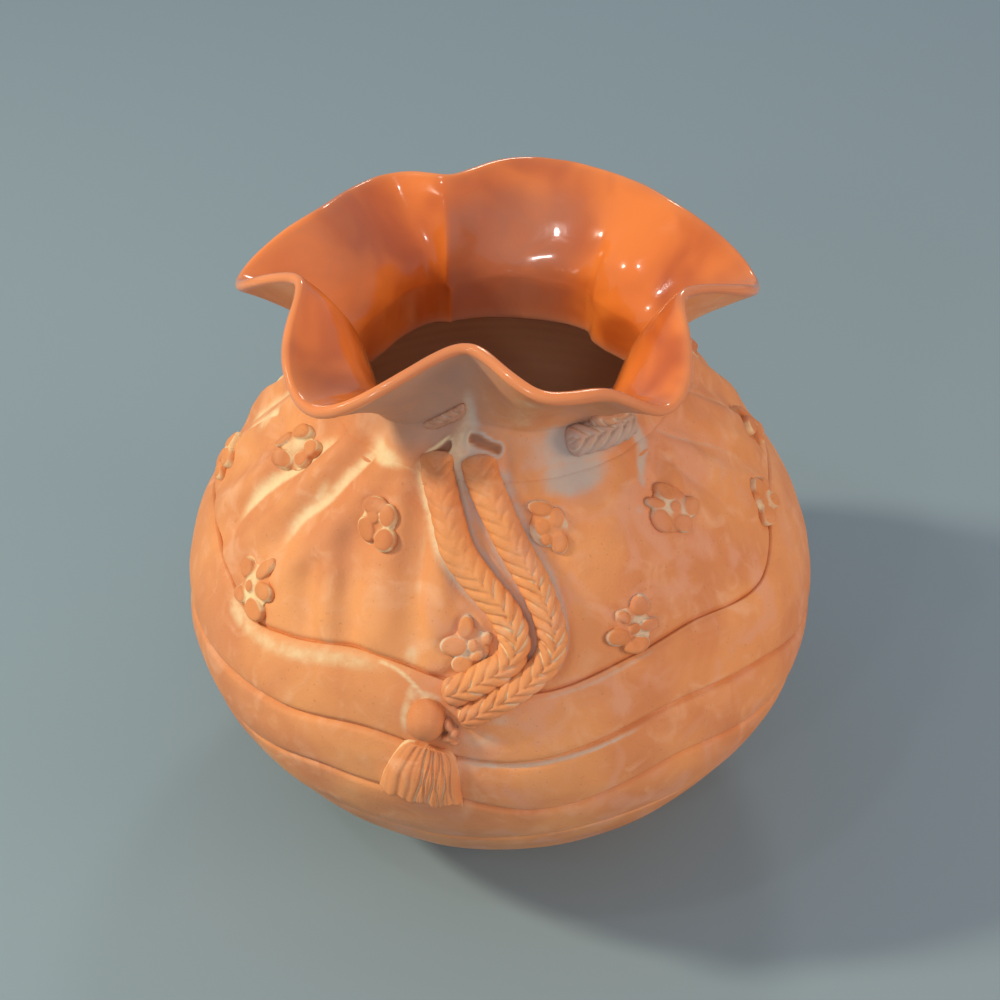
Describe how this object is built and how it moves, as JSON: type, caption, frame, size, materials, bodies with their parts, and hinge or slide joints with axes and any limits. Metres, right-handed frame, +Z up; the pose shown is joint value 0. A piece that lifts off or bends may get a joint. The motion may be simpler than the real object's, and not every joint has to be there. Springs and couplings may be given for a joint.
{
  "type": "vase",
  "caption": "Redware vase like a gathered cloth pouch: ruffled glazed mouth, wrapped folds round a full belly, and a plaited cord with a tassel hanging over the front.",
  "frame": {"origin": "centre of the flat foot, on the surface that the vase stands on", "axes": "+Z up through the mouth; -Y is the front, where the cord and tassel hang; +X to the right seen from the front"},
  "size_m": [0.1801, 0.1841, 0.1839],
  "materials": {
    "red_clay_body": "unglazed matte",
    "orange_glaze": "clear glossy glaze over red clay",
    "red_clay_cloth": "unglazed matte with pale wash in the creases",
    "red_clay_relief": "unglazed matte with pale wash round the edges"
  },
  "bodies": {
    "root": {"pot_body": "red_clay_body", "mouth_ruffle": "orange_glaze", "shoulder_cloth": "red_clay_cloth", "wrap_band_upper": "red_clay_cloth", "wrap_band_middle": "red_clay_cloth", "wrap_band_lower": "red_clay_cloth", "wrap_band_foot": "red_clay_cloth", "cord_strand_left": "red_clay_relief", "cord_strand_right": "red_clay_relief", "tassel_ball": "red_clay_relief", "tassel_knot": "red_clay_relief", "tassel_skirt": "red_clay_relief", "neck_cord_1": "red_clay_relief", "neck_cord_2": "red_clay_relief", "neck_cord_3": "red_clay_relief", "neck_cord_4": "red_clay_relief", "neck_cord_5": "red_clay_relief", "neck_cord_climb": "red_clay_relief", "neck_cord_crossing": "red_clay_relief", "blossom_01": "red_clay_relief", "blossom_02": "red_clay_relief", "blossom_03": "red_clay_relief", "blossom_04": "red_clay_relief", "blossom_05": "red_clay_relief", "blossom_06": "red_clay_relief", "blossom_07": "red_clay_relief", "blossom_08": "red_clay_relief", "blossom_09": "red_clay_relief", "blossom_10": "red_clay_relief", "blossom_11": "red_clay_relief", "blossom_12": "red_clay_relief", "blossom_13": "red_clay_relief", "blossom_14": "red_clay_relief", "blossom_15": "red_clay_relief"}
  },
  "joints": []
}
